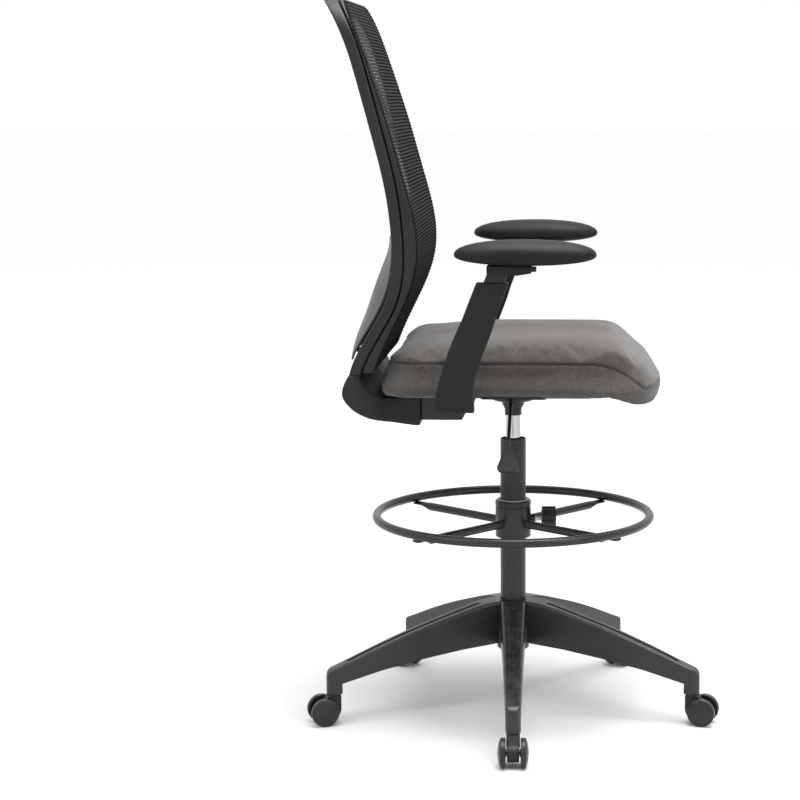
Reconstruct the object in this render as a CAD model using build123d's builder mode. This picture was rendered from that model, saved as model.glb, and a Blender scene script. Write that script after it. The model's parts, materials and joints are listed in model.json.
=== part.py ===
"""Drafting chair: five-star caster base, gas lift, foot ring, mesh back, height-adjustable arms.

Millimetres, +Z up, origin on the floor under the column. The chair faces -Y, so the
sitter's right hand is at -X.
"""

import os
from math import cos, radians, sin

from build123d import *

# Overall places
column_r = 25.0
leg_reach = 362.5
leg_count = 5
base_turn = 182.4
ring_turn = -85.2
tube_top = 538.0
seat_bottom = 648.0
seat_half_width = 245.0
back_top = 1372.0
back_half_width = 237.0
arm_x = 300.0
arm_lean = 20.5

# Running and sliding clearances
running = 0.05
sliding = 0.3

# Casters
wheel_r = 27.0
wheel_trail = 21.0
wheel_inner = 13.5
wheel_tread = 10.0
wheel_dome = 4.8
axle_r = 3.0
stem_r = 5.5
stem_socket = 38.5
housing_width = 22.0
housing_neck_r = 12.5

# Base
wheel_gap = 5.5
leg_bottom = 2 * wheel_r + wheel_gap
stem_top = leg_bottom + stem_socket
leg_tip_r = 14.0
leg_root_half = 25.0
leg_groove = 9.0
leg_round = 5.0
hub_bottom = 139.0
hub_top = 219.0
collar_drop = 18.0
hub_collar_wall = 6.5
hub_collar_r = column_r + hub_collar_wall

# Column
tube_wall = 2.0
tube_floor = 4.0
bush_length = 60.0
cylinder_r = 14.0
cylinder_bottom = 270.0
cylinder_top = 624.0
rod_r = 5.0
piston_z = 505.0
pin_r = 3.0
pin_top = 630.0

# Foot ring
ring_r = 266.0
ring_tube_r = 8.5
ring_z = 386.0
ring_collar_low = 344.0
ring_collar_high = 416.0
ring_bush_wall = 3.0
ring_collar_wall = 6.5
ring_collar_r = column_r + ring_bush_wall + ring_collar_wall
spoke_r = 8.0
flat_thick = 6.0
flat_width = 22.0
knob_r = 24.0
knob_length = 27.0
knob_start = 56.0
screw_r = 4.0

# Seat mechanism and lift lever
box_half_x = 45.0
box_front = 65.0
box_rear = 60.0
box_height = 25.0
sheet = 3.0
plate_thick = 4.0
socket_wall = 2.5
socket_bottom = 584.0
pivot_x = 33.0
pivot_pin_r = 2.0
lever_r = 3.25
lever_gap = 0.25
lever_out = 200.0
lever_down = 566.0

# Seat
board_thick = 12.0
board_inset = 16.0
seam_z = 711.0
crown_z = 757.0
seat_front = 284.0
seat_rear = 247.0

# Back
frame_depth = 20.0
frame_member = 26.0
groove_depth = 2.5
mesh_thick = 2.0
frame_low = 690.0
frame_corner = 68.0
yoke_front_half = 130.0

# Arms
sleeve_thick = 28.0
slider_width = 34.0
slider_thick = 12.0
slider_length = 176.0
foot_thick = 9.0
foot_inner = 124.0
pad_length = 254.0
pad_width = 96.0
pad_front = 161.0
pad_under = 898.0
pad_crown = 944.0
pad_edge = 916.0

os.makedirs("parts", exist_ok=True)


def save(builder, name):
    """Label one finished piece and write its STEP file."""
    builder.part.label = name
    export_step(builder.part, f"parts/{name}.step")


def outward(angle, height):
    """A plane on the column's axis that faces outwards, its X axis pointing up."""
    a = radians(angle)
    return Plane(origin=(0, 0, height), x_dir=(0, 0, 1), z_dir=(cos(a), sin(a), 0))


def around(angle, radius=0.0, height=0.0):
    """The place at a radius and angle about the column, its X axis pointing outwards."""
    a = radians(angle)
    return Location((radius * cos(a), radius * sin(a), height), (0, 0, angle))


# ---------------------------------------------------------------- base
# One leg along +X: its side outline, cut to its plan, grooved on top and recessed beneath.
leg_turns = [base_turn + 360 / leg_count * k for k in range(leg_count)]
leg_end = leg_reach + leg_tip_r
leg_top_line = [(20, hub_top), (60, hub_top - 3), (110, 202), (170, 183), (230, 162)]
leg_shoulder = (leg_reach - 32, 122)
leg_under_line = [(leg_reach - 92, 100), (190, 116), (109, 129), (20, hub_bottom)]
with BuildPart() as leg:
    with BuildSketch(Plane.XZ):
        with BuildLine():
            Spline(*leg_top_line, leg_shoulder)
            Line(leg_shoulder, (leg_reach, leg_bottom + 50))
            Spline((leg_reach, leg_bottom + 50), (leg_end - 3, leg_bottom + 42), (leg_end, leg_bottom + 28))
            Polyline((leg_end, leg_bottom + 28), (leg_end, leg_bottom), (leg_reach - leg_tip_r, leg_bottom),
                     (leg_reach - leg_tip_r, leg_bottom + 20), *leg_under_line, leg_top_line[0])
        make_face()
    extrude(amount=2 * leg_root_half, both=True)
    with BuildSketch(Plane.XY):
        with BuildLine():
            Polyline((leg_reach, -leg_tip_r), (150, -20), (20, -leg_root_half),
                     (20, leg_root_half), (150, 20), (leg_reach, leg_tip_r))
            ThreePointArc((leg_reach, leg_tip_r), (leg_end, 0), (leg_reach, -leg_tip_r))
        make_face()
    extrude(amount=2 * hub_top, mode=Mode.INTERSECT)
    fillet(leg.edges().filter_by(lambda e: e.length > 150 and e.center().Z > hub_bottom), leg_round)
    with BuildSketch(Plane.XZ):
        with BuildLine():
            Spline((70, hub_top - 7), (110, 199.5), (170, 180.5), (230, 159.5), (leg_reach - 28, 117.5))
            Polyline((leg_reach - 28, 117.5), (leg_reach - 22, 240), (70, 240), (70, hub_top - 7))
        make_face()
    extrude(amount=leg_groove / 2, both=True, mode=Mode.SUBTRACT)

with BuildPart() as leg_recess:
    with BuildSketch(Plane.XZ):
        with BuildLine():
            Polyline((64, 60), (64, 146), (109, 140), (190, 127), (271, 110), (leg_reach - 26, 96),
                     (leg_reach - 26, 60), close=True)
        make_face()
    extrude(amount=leg_root_half, both=True)
    with BuildSketch(Plane.XY):
        with BuildLine():
            Polyline((64, -18), (150, -14.5), (leg_reach - 26, -10), (leg_reach - 26, 10), (150, 14.5),
                     (64, 18), close=True)
        make_face()
    extrude(amount=hub_top, mode=Mode.INTERSECT)

with BuildPart() as base_star:
    with BuildSketch(Plane.XZ):
        with BuildLine():
            Polyline((0, hub_bottom), (column_r + 19, hub_bottom), (column_r + 18, 165), (column_r + 11, 195))
            Spline((column_r + 11, 195), (column_r + 6, 210), (column_r + 4, hub_top))
            Polyline((column_r + 4, hub_top), (0, hub_top), (0, hub_bottom))
        make_face()
    revolve(axis=Axis.Z)
    with Locations(*[around(turn) for turn in leg_turns]):
        add(leg.part)
    with Locations(*[around(turn) for turn in leg_turns]):
        add(leg_recess.part, mode=Mode.SUBTRACT)
    with BuildSketch(Plane.XY.offset(hub_bottom - collar_drop)):
        Circle(hub_collar_r)
    extrude(amount=collar_drop, mode=Mode.SUBTRACT)
    with BuildSketch(Plane.XY.offset(hub_bottom - 1)):
        Circle(column_r)
    extrude(amount=hub_top, mode=Mode.SUBTRACT)
    with BuildSketch(Plane.XY.offset(leg_bottom)):
        with Locations(*[around(turn, leg_reach) for turn in leg_turns]):
            Circle(stem_r)
    extrude(amount=stem_top - leg_bottom, mode=Mode.SUBTRACT)
save(base_star, "base_star")

with BuildPart() as hub_collar:
    with BuildSketch(Plane.XY.offset(hub_bottom - collar_drop)):
        Circle(hub_collar_r)
        Circle(column_r, mode=Mode.SUBTRACT)
    extrude(amount=collar_drop)
    chamfer(hub_collar.edges().group_by(Axis.Z)[0].filter_by(GeomType.CIRCLE).sort_by(SortBy.RADIUS)[-1], 2)
save(hub_collar, "hub_collar")

# ---------------------------------------------------------------- casters
# In a caster's own place +X points away from the column and the stem is the origin.
stem_low = 31.0
housing_top = leg_bottom - 1
with BuildPart() as caster_stems:
    with BuildSketch(Plane.XY.offset(stem_low)):
        with Locations(*[around(turn, leg_reach) for turn in leg_turns]):
            Circle(stem_r)
    extrude(amount=stem_top - stem_low)
save(caster_stems, "caster_stems")

hood_low = 9.0
belly_r = 17.0
with BuildPart() as housing:
    with BuildSketch(Plane.XZ):
        with BuildLine():
            Polyline((housing_neck_r, housing_top - 2), (-housing_neck_r, housing_top - 2),
                     (-housing_neck_r, 31))
            ThreePointArc((-housing_neck_r, 31), (-7, 16), (7, hood_low))
            Line((7, hood_low), (wheel_trail, wheel_r - belly_r))
            ThreePointArc((wheel_trail, wheel_r - belly_r), (wheel_trail + belly_r, wheel_r),
                          (wheel_trail, wheel_r + belly_r))
            Line((wheel_trail, wheel_r + belly_r), (housing_neck_r, housing_top - 2))
        make_face()
    extrude(amount=housing_width / 2, both=True)
    fillet(housing.edges().filter_by(lambda e: e.length > 15), 1.5)
    with BuildSketch(Plane.XY.offset(31)):
        Circle(housing_neck_r)
    extrude(amount=housing_top - 31)
    with BuildSketch(Plane.XY.offset(stem_low - 1)):
        Circle(stem_r + running)
    extrude(amount=stem_top, mode=Mode.SUBTRACT)
    with BuildSketch(Plane.XZ):
        with Locations((wheel_trail, wheel_r)):
            Circle(axle_r)
    extrude(amount=housing_width, both=True, mode=Mode.SUBTRACT)

axle_half = wheel_inner + wheel_tread + 1.0
with BuildPart() as axle:
    with BuildSketch(Plane.XZ):
        with Locations((wheel_trail, wheel_r)):
            Circle(axle_r)
    extrude(amount=axle_half, both=True)

# The wheel's profile: distance out along the axle, and radius.
tread_end = wheel_inner + wheel_tread
hub_face = housing_width / 2 + sliding
with BuildPart() as wheel:
    with BuildSketch(Plane.XY):
        with BuildLine():
            Polyline((hub_face, 0), (hub_face, 7), (wheel_inner + 3, 8), (wheel_inner + 3, wheel_r - 6),
                     (wheel_inner, wheel_r - 5), (wheel_inner, wheel_r - 1.5), (wheel_inner + 1.5, wheel_r),
                     (tread_end - 1.5, wheel_r), (tread_end, wheel_r - 1.5))
            Spline((tread_end, wheel_r - 1.5), (tread_end + 3.4, wheel_r / 2), (tread_end + wheel_dome, 0),
                   tangents=((0.5, -1), (0, -1)))
            Line((tread_end + wheel_dome, 0), (hub_face, 0))
        make_face()
    revolve(axis=Axis.X)
    with BuildSketch(Plane.YZ.offset(hub_face)):
        Circle(axle_r + running)
    extrude(amount=axle_half + sliding - hub_face, mode=Mode.SUBTRACT)

wheel_turns = {"left": 90, "right": -90}
for k, turn in enumerate(leg_turns, start=1):
    place = around(turn, leg_reach)
    for piece, name in ((housing, "housing"), (axle, "axle")):
        with BuildPart() as placed:
            with Locations(place):
                add(piece.part)
        save(placed, f"caster_{k}_{name}")
    for side, wheel_turn in wheel_turns.items():
        with BuildPart() as placed:
            with Locations(place * Location((wheel_trail, 0, wheel_r), (0, 0, wheel_turn))):
                add(wheel.part)
        save(placed, f"caster_{k}_wheel_{side}")

# ---------------------------------------------------------------- column
tube_low = hub_bottom - collar_drop - tube_floor
tube_bore = column_r - tube_wall
with BuildPart() as column_tube:
    with BuildSketch(Plane.XY.offset(tube_low)):
        Circle(column_r)
    extrude(amount=tube_top - tube_low)
    with BuildSketch(Plane.XY.offset(tube_low + tube_floor)):
        Circle(tube_bore)
    extrude(amount=tube_top, mode=Mode.SUBTRACT)
    with BuildSketch(Plane.XY.offset(tube_low)):
        Circle(rod_r + 2 * running)
    extrude(amount=tube_floor, mode=Mode.SUBTRACT)
    with BuildSketch(Plane.XY.offset(tube_top - 11)):
        Circle(column_r)
        Circle(column_r - 0.8, mode=Mode.SUBTRACT)
    extrude(amount=1.6, mode=Mode.SUBTRACT)
    fillet(column_tube.edges().group_by(Axis.Z)[-1].sort_by(SortBy.RADIUS)[-1], 1.2)
save(column_tube, "column_tube")

bush_top = tube_top - 3
with BuildPart() as column_bush:
    with BuildSketch(Plane.XY.offset(bush_top - bush_length)):
        Circle(tube_bore)
        Circle(cylinder_r + running, mode=Mode.SUBTRACT)
    extrude(amount=bush_length)
    chamfer(column_bush.edges().group_by(Axis.Z)[-1].sort_by(SortBy.RADIUS)[0], 2.5)
save(column_bush, "column_bush")

bearing_low = tube_low + tube_floor
bearing_high = bearing_low + 6
with BuildPart() as thrust_bearing:
    with BuildSketch(Plane.XY.offset(bearing_low)):
        Circle(14)
        Circle(rod_r + sliding, mode=Mode.SUBTRACT)
    extrude(amount=bearing_high - bearing_low)
save(thrust_bearing, "thrust_bearing")

cylinder_wall = 2.5
cylinder_bore = cylinder_r - cylinder_wall
with BuildPart() as piston_rod:
    with BuildSketch(Plane.XZ):
        with BuildLine():
            Polyline((0, tube_low - 4), (rod_r, tube_low - 4), (rod_r, bearing_high), (12, bearing_high),
                     (12, bearing_high + 4), (rod_r, bearing_high + 4), (rod_r, piston_z),
                     (cylinder_bore - running, piston_z), (cylinder_bore - running, piston_z + 13),
                     (0, piston_z + 13), close=True)
        make_face()
    revolve(axis=Axis.Z)
save(piston_rod, "piston_rod")

bore_top = cylinder_top - 24
with BuildPart() as gas_cylinder:
    with BuildSketch(Plane.XZ):
        with BuildLine():
            Polyline((rod_r + running, cylinder_bottom), (cylinder_r, cylinder_bottom), (cylinder_r, cylinder_top),
                     (pin_r + running, cylinder_top), (pin_r + running, bore_top), (cylinder_bore, bore_top),
                     (cylinder_bore, cylinder_bottom + 12), (rod_r + running, cylinder_bottom + 12), close=True)
        make_face()
    revolve(axis=Axis.Z)
    chamfer(gas_cylinder.edges().group_by(Axis.Z)[0].sort_by(SortBy.RADIUS)[-1], 1)
save(gas_cylinder, "gas_cylinder")

with BuildPart() as release_pin:
    with BuildSketch(Plane.XY.offset(bore_top + 6)):
        Circle(pin_r)
    extrude(amount=pin_top - bore_top - 6)
save(release_pin, "release_pin")

# ---------------------------------------------------------------- foot ring
bush_r = column_r + ring_bush_wall
with BuildPart() as ring_bush:
    with BuildSketch(Plane.XZ):
        with BuildLine():
            Polyline((column_r + running, ring_collar_low), (bush_r, ring_collar_low), (bush_r, ring_collar_high),
                     (bush_r + 2.5, ring_collar_high), (bush_r + 2.5, ring_collar_high + 2.5),
                     (column_r + running, ring_collar_high + 2.5), close=True)
        make_face()
    revolve(axis=Axis.Z)
save(ring_bush, "ring_bush")

lock = outward(ring_turn, ring_z - 8)
boss_out = ring_collar_r + 8
groove_z = ring_collar_high - 10
with BuildPart() as ring_collar:
    with BuildSketch(Plane.XZ):
        with BuildLine():
            Polyline((bush_r + running, ring_collar_low), (ring_collar_r - 1, ring_collar_low),
                     (ring_collar_r, ring_collar_low + 1), (ring_collar_r, groove_z - 3),
                     (ring_collar_r - 1.5, groove_z - 2), (ring_collar_r - 1.5, groove_z),
                     (ring_collar_r + 0.5, groove_z + 1), (ring_collar_r + 0.5, ring_collar_high - 1.5),
                     (ring_collar_r - 1, ring_collar_high), (bush_r + running, ring_collar_high), close=True)
        make_face()
    revolve(axis=Axis.Z)
    with BuildSketch(lock.offset(bush_r + 2)):
        Circle(screw_r + 5)
    extrude(amount=boss_out - bush_r - 2)
    with BuildSketch(lock):
        Circle(screw_r + running)
    extrude(amount=boss_out + 1, mode=Mode.SUBTRACT)
    with BuildSketch(Plane.XY.offset(ring_collar_low)):
        Circle(bush_r + running)
    extrude(amount=ring_collar_high - ring_collar_low, mode=Mode.SUBTRACT)

with BuildPart() as foot_ring:
    with BuildSketch(Plane.XZ):
        with Locations((ring_r, ring_z)):
            Circle(ring_tube_r)
    revolve(axis=Axis.Z)
save(foot_ring, "foot_ring")

# Each spoke is a tube whose outer end is pressed flat and welded under the ring.
spoke_z = ring_z - ring_tube_r - flat_thick
flat_from = ring_r - 22
with BuildPart() as ring_spokes:
    for k in range(4):
        out = outward(ring_turn + 45 + 90 * k, spoke_z)
        with BuildSketch(out.offset(ring_collar_r - 3)):
            Circle(spoke_r)
        extrude(amount=flat_from - 16 - ring_collar_r + 3)
        with BuildSketch(out.offset(flat_from - 16)):
            Circle(spoke_r)
        with BuildSketch(out.offset(flat_from)):
            with Locations((flat_thick / 2, 0)):
                Ellipse(flat_thick / 2, flat_width / 2)
        loft()
        with BuildSketch(out.offset(flat_from)):
            with Locations((flat_thick / 2, 0)):
                Ellipse(flat_thick / 2, flat_width / 2)
        extrude(amount=ring_r - flat_from)
    add(foot_ring.part, mode=Mode.SUBTRACT)
    add(ring_collar.part, mode=Mode.SUBTRACT)
    with BuildSketch(Plane.XY.offset(ring_collar_low)):
        Circle(ring_collar_r)
    extrude(amount=ring_collar_high - ring_collar_low, mode=Mode.SUBTRACT)
save(ring_collar, "ring_collar")
save(ring_spokes, "ring_spokes")

screw_tip = bush_r + sliding
knob_end = knob_start + knob_length
with BuildPart() as lock_screw:
    with BuildSketch(lock.offset(screw_tip)):
        Circle(screw_r)
    extrude(amount=knob_end - 8 - screw_tip)
save(lock_screw, "lock_screw")

with BuildPart() as lock_knob:
    with BuildSketch(lock.offset(knob_start)):
        Circle(knob_r - 6)
        with PolarLocations(knob_r - 7, 5):
            Circle(7)
    extrude(amount=knob_length)
    fillet(lock_knob.edges().group_by(SortBy.LENGTH)[-1], 1.5)
    with BuildSketch(lock.offset(knob_start)):
        Circle(screw_r)
    extrude(amount=knob_length - 8, mode=Mode.SUBTRACT)
save(lock_knob, "lock_knob")

# ---------------------------------------------------------------- seat mechanism and lift lever
box_top = seat_bottom - plate_thick
box_low = box_top - box_height
pivot_z = pin_top + lever_gap + lever_r
lug_y = 7.0
lug_thick = 3.0
socket_r = cylinder_r + socket_wall
with BuildPart() as seat_mechanism:
    with BuildSketch(Plane.XY.offset(box_low)):
        with BuildLine():
            Polyline((-box_half_x, -box_front), (box_half_x, -box_front), (box_half_x, box_rear),
                     (-box_half_x, box_rear), close=True)
        make_face()
    extrude(amount=box_height)
    fillet(seat_mechanism.edges().filter_by(Axis.Z), 8)
    offset(amount=-sheet, openings=seat_mechanism.faces().sort_by(Axis.Z)[-1])
    with BuildSketch(Plane.XY.offset(box_top)):
        with Locations((0, (box_rear - box_front) / 2)):
            RectangleRounded(2 * 95, box_front + box_rear + 34, 12)
    extrude(amount=plate_thick)
    with BuildSketch(Plane.XY.offset(socket_bottom)):
        Circle(socket_r)
    extrude(amount=cylinder_top - socket_bottom)
    with BuildSketch(Plane.XY.offset(socket_bottom)):
        Circle(cylinder_r)
    extrude(amount=cylinder_top - socket_bottom, mode=Mode.SUBTRACT)
    with BuildSketch(Plane.XZ.offset(-lug_y - lug_thick)):
        with Locations((-pivot_x, (box_low + sheet + pivot_z + 7) / 2)):
            Rectangle(14, pivot_z + 7 - box_low - sheet)
    extrude(amount=lug_thick)
    with BuildSketch(Plane.XZ.offset(lug_y)):
        with Locations((-pivot_x, (box_low + sheet + pivot_z + 7) / 2)):
            Rectangle(14, pivot_z + 7 - box_low - sheet)
    extrude(amount=lug_thick)
    with BuildSketch(Plane.XZ):
        with Locations((-pivot_x, pivot_z)):
            Circle(pivot_pin_r)
    extrude(amount=lug_y + lug_thick, both=True, mode=Mode.SUBTRACT)
    with BuildSketch(Plane.YZ.offset(-box_half_x)):
        with Locations((0, pivot_z + 0.5)):
            RectangleRounded(12, 2 * lever_r + 6, 3)
    extrude(amount=sheet, mode=Mode.SUBTRACT)
save(seat_mechanism, "seat_mechanism")

with BuildPart() as lever_pin:
    with BuildSketch(Plane.XZ):
        with Locations((-pivot_x, pivot_z)):
            Circle(pivot_pin_r)
    extrude(amount=lug_y + lug_thick, both=True)
save(lever_pin, "lever_pin")

with BuildPart() as column_shroud:
    with BuildSketch(Plane.XZ):
        with BuildLine():
            Polyline((socket_r, socket_bottom + 14), (socket_r + 1.5, socket_bottom + 14),
                     (socket_r + 2.5, socket_bottom + 18), (socket_r + 4, socket_bottom + 19),
                     (socket_r + 5.5, socket_bottom + 25), (socket_r + 14, box_low - 8))
            Spline((socket_r + 14, box_low - 8), (socket_r + 24, box_low - 5), (box_half_x + 2, box_low))
            Polyline((box_half_x + 2, box_low), (socket_r, box_low), (socket_r, socket_bottom + 14))
        make_face()
    revolve(axis=Axis.Z)
save(column_shroud, "column_shroud")

# The lever's inner end rests just over the release pin; its outer end turns down to the grip.
grip_drop = Vector(-0.483, 0, -0.876)
grip_top = Vector(-lever_out, 0, lever_down)
with BuildPart() as lever_rod:
    with BuildLine() as lever_path:
        FilletPolyline((-1, 0, pivot_z), (-84, 0, pivot_z), tuple(grip_top), tuple(grip_top + grip_drop * 24),
                       radius=12)
    with BuildSketch(Plane(origin=lever_path.line @ 0, z_dir=lever_path.line % 0)):
        Circle(lever_r)
    sweep()
    with BuildSketch(Plane.XZ):
        with Locations((-pivot_x, pivot_z)):
            Circle(lever_r + 2.5)
    extrude(amount=lug_y - sliding, both=True)
    with BuildSketch(Plane.XZ):
        with Locations((-pivot_x, pivot_z)):
            Circle(pivot_pin_r + running)
    extrude(amount=lug_y, both=True, mode=Mode.SUBTRACT)
save(lever_rod, "lever_rod")

grip_plane = Plane(origin=grip_top + grip_drop * 30, x_dir=(0, 1, 0), z_dir=(-0.876, 0, 0.483))
with BuildPart() as lever_grip:
    with BuildSketch(grip_plane):
        with Locations((0, -9.5)):
            Circle(7.8)
        with Locations((-11, 24), (11, 24)):
            Circle(9)
        make_hull()
    extrude(amount=4.5, both=True)
    fillet(lever_grip.edges(), 2)
    add(lever_rod.part, mode=Mode.SUBTRACT)
save(lever_grip, "lever_grip")

# ---------------------------------------------------------------- seat
pocket_front = seat_front - 80


def seat_outline(inset):
    """The seat's plan, a set distance inside its edge: bowed sides, tighter at the rear corners."""
    half = seat_half_width - inset
    front = seat_front - inset
    rear = seat_rear - inset
    with BuildSketch() as made:
        with BuildLine():
            ThreePointArc((half - 95, 12 - front), (0, -front), (95 - half, 12 - front))
            for side in (-1, 1):
                Spline((side * (half - 95), 12 - front), (side * (half - 27), 70 - front), (side * (half - 4), -120),
                       tangents=((side, 0.25), (0, 1)))
                ThreePointArc((side * (half - 4), -120), (side * half, 0), (side * (half - 6), rear - 100))
                Spline((side * (half - 6), rear - 100), (side * (half - 22), rear - 40),
                       (side * (half - 85), rear - 6), tangents=((0, 1), (-side, 0.1)))
            ThreePointArc((half - 85, rear - 6), (0, rear), (85 - half, rear - 6))
        make_face()
    return made.sketch


def board_slab(low):
    """The seat board's outline, solid from a height up to the board's top face."""
    with BuildPart() as made:
        with BuildSketch(Plane.XY.offset(low)):
            add(seat_outline(board_inset))
        extrude(amount=seat_bottom + board_thick - low)
        with BuildSketch(Plane.XZ.offset(pocket_front)):
            with Locations((0, low)):
                Rectangle(4 * seat_half_width, 4 * board_thick + 80)
        extrude(amount=seat_front, mode=Mode.SUBTRACT)
    return made.part


with BuildPart() as seat_cushion:
    with BuildSketch(Plane.YZ):
        with BuildLine():
            Polyline((seat_rear - 14, seat_bottom), (-150, seat_bottom))
            Spline((-150, seat_bottom), (-215, seat_bottom - 9), (-seat_front + 36, seat_bottom - 17),
                   (-seat_front + 3, seat_bottom - 2), (-seat_front, seat_bottom + 24),
                   (-seat_front + 20, seam_z - 13), (-seat_front + 44, seam_z + 11), (-seat_front + 79, crown_z - 9),
                   (-150, crown_z), (90, crown_z), (160, crown_z - 8), (205, crown_z - 21),
                   (seat_rear - 22, seam_z + 10),
                   (seat_rear - 10, seam_z - 7), (seat_rear, seam_z - 23), (seat_rear - 2, seam_z - 43),
                   (seat_rear - 14, seat_bottom))
        make_face()
    extrude(amount=seat_half_width + 5, both=True)
    add(seat_outline(0))
    extrude(amount=2 * crown_z, mode=Mode.INTERSECT)
    with BuildSketch(Plane.XZ):
        with BuildLine():
            Polyline((0, 600), (seat_half_width - 12, 600), (seat_half_width - 12, seat_bottom),
                     (seat_half_width, seat_bottom + 20), (seat_half_width, seam_z))
            Spline((seat_half_width, seam_z), (seat_half_width - 22, seam_z + 18), (seat_half_width - 95, crown_z - 11),
                   (0, crown_z + 1))
            mirror(about=Plane.YZ)
        make_face()
    extrude(amount=2 * seat_front, both=True, mode=Mode.INTERSECT)
    add(board_slab(seat_bottom - 30), mode=Mode.SUBTRACT)
save(seat_cushion, "seat_cushion")

with BuildPart() as seat_board:
    add(board_slab(seat_bottom))
save(seat_board, "seat_board")

# ---------------------------------------------------------------- back
# Side curves as (Y, Z): the rear face of the side members, and the front face of the mesh.
rear_points = [(291, frame_low), (266, 748), (219, 838), (211, 930), (226, 1045), (251, 1144), (275, 1233),
               (300, 1308), (338, back_top)]
front_points = [(246, frame_low), (205, 783), (167, 885), (166, 945), (187, 1037), (215, 1137), (247, 1236),
                (276, 1318), (309, back_top + 20)]
with BuildLine() as rear_curve:
    Spline(*rear_points)
with BuildLine() as front_curve:
    Spline(*front_points)


def shifted(curve, distance):
    """Points along a side curve, moved towards the sitter by a distance."""
    count = 14
    found = []
    for k in range(count + 1):
        at = k / count
        along = (curve.line % at).normalized()
        found.append(curve.line @ at + Vector(-along.Y, along.X) * distance)
    return [(p.X, p.Y) for p in found]


def slab(rear, front):
    """A sheet between two side curves, wide enough for the whole back."""
    with BuildPart() as made:
        with BuildSketch(Plane.YZ):
            with BuildLine():
                Spline(*rear)
                Spline(*front)
                Line(rear[0], front[0])
                Line(rear[-1], front[-1])
            make_face()
        extrude(amount=back_half_width + 10, both=True)
    return made.part


def outline(inset, low):
    """The back's outline from the front, a set distance inside the frame's edge."""
    height = back_top - inset - low
    with BuildSketch(Plane.XZ) as made:
        with Locations((0, low + height / 2)):
            RectangleRounded(2 * (back_half_width - inset), height, frame_corner - inset)
        if inset < frame_member:
            with Locations((0, low + frame_corner / 2)):
                Rectangle(2 * (back_half_width - inset), frame_corner)
    return made.sketch


frame_rear = shifted(rear_curve, 0)
frame_front = shifted(rear_curve, frame_depth)
groove_front = shifted(rear_curve, frame_depth + groove_depth)
mesh_front = shifted(front_curve, 0)
mesh_rear = shifted(front_curve, -mesh_thick)
window = outline(frame_member, frame_low + 42)

with BuildPart() as back_frame:
    add(slab(frame_rear, frame_front))
    with BuildSketch(Plane.XZ):
        add(outline(0, frame_low))
        add(window, mode=Mode.SUBTRACT)
    extrude(amount=-2 * seat_front, mode=Mode.INTERSECT)

with BuildPart() as mesh_carrier:
    add(slab(groove_front, mesh_rear))
    with BuildSketch(Plane.XZ):
        add(outline(1.5, frame_low + 4))
        add(window, mode=Mode.SUBTRACT)
    extrude(amount=-2 * seat_front, mode=Mode.INTERSECT)
with BuildPart() as carrier_neck:
    add(slab(frame_front, groove_front))
    with BuildSketch(Plane.XZ):
        add(outline(6, frame_low + 10))
        add(window, mode=Mode.SUBTRACT)
    extrude(amount=-2 * seat_front, mode=Mode.INTERSECT)
with BuildPart() as carrier:
    add(mesh_carrier.part)
    add(carrier_neck.part)
save(carrier, "mesh_carrier")

with BuildPart() as back_mesh:
    add(slab(mesh_rear, mesh_front))
    with BuildSketch(Plane.XZ):
        add(outline(5, frame_low + 8))
    extrude(amount=-2 * seat_front, mode=Mode.INTERSECT)
save(back_mesh, "back_mesh")

# The lower back shell is lofted through bowed strips: height, Y of its edges, and bow.
shell_half = 192.0
shell_thick = 4.0
shell_strips = [(714, 287, 11), (738, 277, 18), (790, 246, 30), (850, 220, 35), (900, 212, 23), (934, 211, 17)]
with BuildPart() as lumbar_shell:
    for height, edge_y, bow in shell_strips:
        with BuildSketch(Plane.XY.offset(height)):
            with BuildLine():
                ThreePointArc((-shell_half, edge_y), (0, edge_y + bow), (shell_half, edge_y))
                ThreePointArc((-shell_half, edge_y + shell_thick), (0, edge_y + bow + shell_thick),
                              (shell_half, edge_y + shell_thick))
                Line((-shell_half, edge_y), (-shell_half, edge_y + shell_thick))
                Line((shell_half, edge_y), (shell_half, edge_y + shell_thick))
            make_face()
    loft()

post_x = 120.0
post_z = 724.0
post_r = 5.0
with BuildPart() as shell_posts:
    with BuildSketch(Plane.XZ.offset(-274)):
        with Locations((-post_x, post_z), (post_x, post_z)):
            Circle(post_r)
    extrude(amount=-18)
    add(lumbar_shell.part, mode=Mode.SUBTRACT)
    add(back_frame.part, mode=Mode.SUBTRACT)
save(lumbar_shell, "lumbar_shell")
with BuildPart() as posted_frame:
    add(back_frame.part)
    add(shell_posts.part)
save(posted_frame, "back_frame")

yoke_front = 170.0
yoke_low = 581.0
with BuildPart() as back_yoke:
    with BuildSketch(Plane.YZ):
        with BuildLine():
            Spline((291, frame_low), (303, 665), (304, 652), (297, 638), (273, 616), (247, 600), (220, 590),
                   (192, 583), (yoke_front, yoke_low))
            Polyline((yoke_front, yoke_low), (yoke_front, seat_bottom - 10), (yoke_front + 30, seat_bottom - 9))
            Spline((yoke_front + 30, seat_bottom - 9), (241, 645), (262, 664), (frame_front[0][0], frame_low))
            Line((frame_front[0][0], frame_low), (291, frame_low))
        make_face()
    extrude(amount=back_half_width, both=True)
    with BuildSketch(Plane.XY):
        with BuildLine():
            Spline((yoke_front_half, yoke_front), (yoke_front_half + 8, 205), (200, 250),
                   (back_half_width, 284))
            Polyline((back_half_width, 284), (back_half_width, 310), (-back_half_width, 310),
                     (-back_half_width, 284))
            Spline((-back_half_width, 284), (-200, 250), (-yoke_front_half - 8, 205),
                   (-yoke_front_half, yoke_front))
            Line((-yoke_front_half, yoke_front), (yoke_front_half, yoke_front))
        make_face()
    extrude(amount=back_top, mode=Mode.INTERSECT)
save(back_yoke, "back_yoke")

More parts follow.
